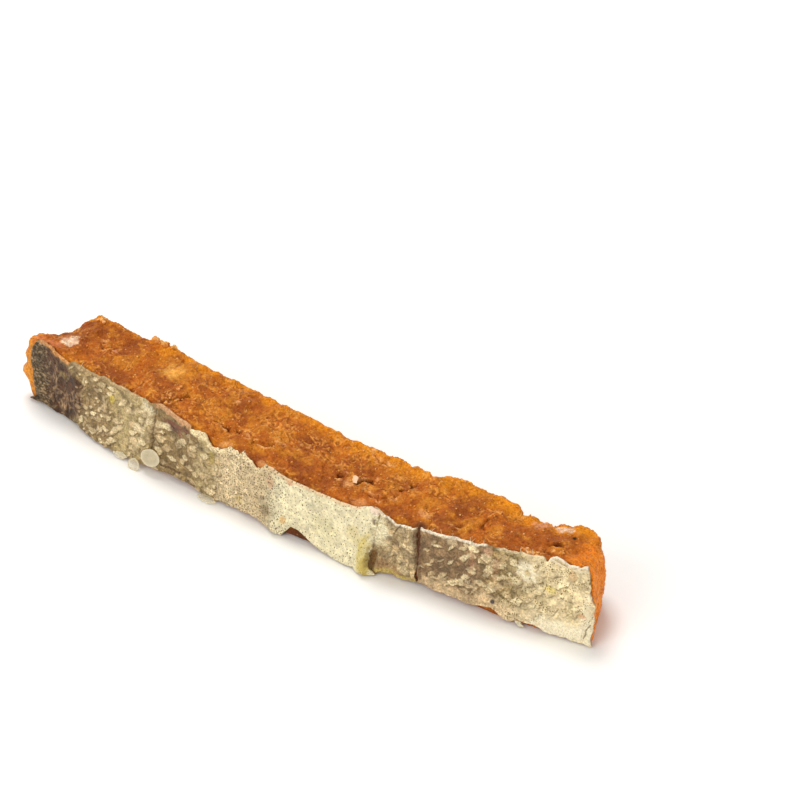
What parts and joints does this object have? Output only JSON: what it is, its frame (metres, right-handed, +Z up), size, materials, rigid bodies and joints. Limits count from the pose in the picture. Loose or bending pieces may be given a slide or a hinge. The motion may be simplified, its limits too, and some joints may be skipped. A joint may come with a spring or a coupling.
{
  "type": "dried salmon strip with fish skin",
  "caption": "Short bar of dried, pressed salmon mince with speckled fish skin along one long side, lying flat; a finger food or a chew.",
  "frame": {"origin": "under the middle of the strip's box, on the surface that it lies on", "axes": "+X along the strip, towards the end with the pale skin; -Y is the side that the skin covers; +Z up"},
  "size_m": [0.136, 0.025, 0.0175],
  "materials": {
    "dried_mince": "moist granular orange-brown, satin",
    "fish_skin": "dry speckled skin, satin"
  },
  "bodies": {
    "root": {"meat": "dried_mince", "skin_left": "fish_skin", "skin_middle": "fish_skin", "skin_right": "fish_skin"}
  },
  "joints": []
}
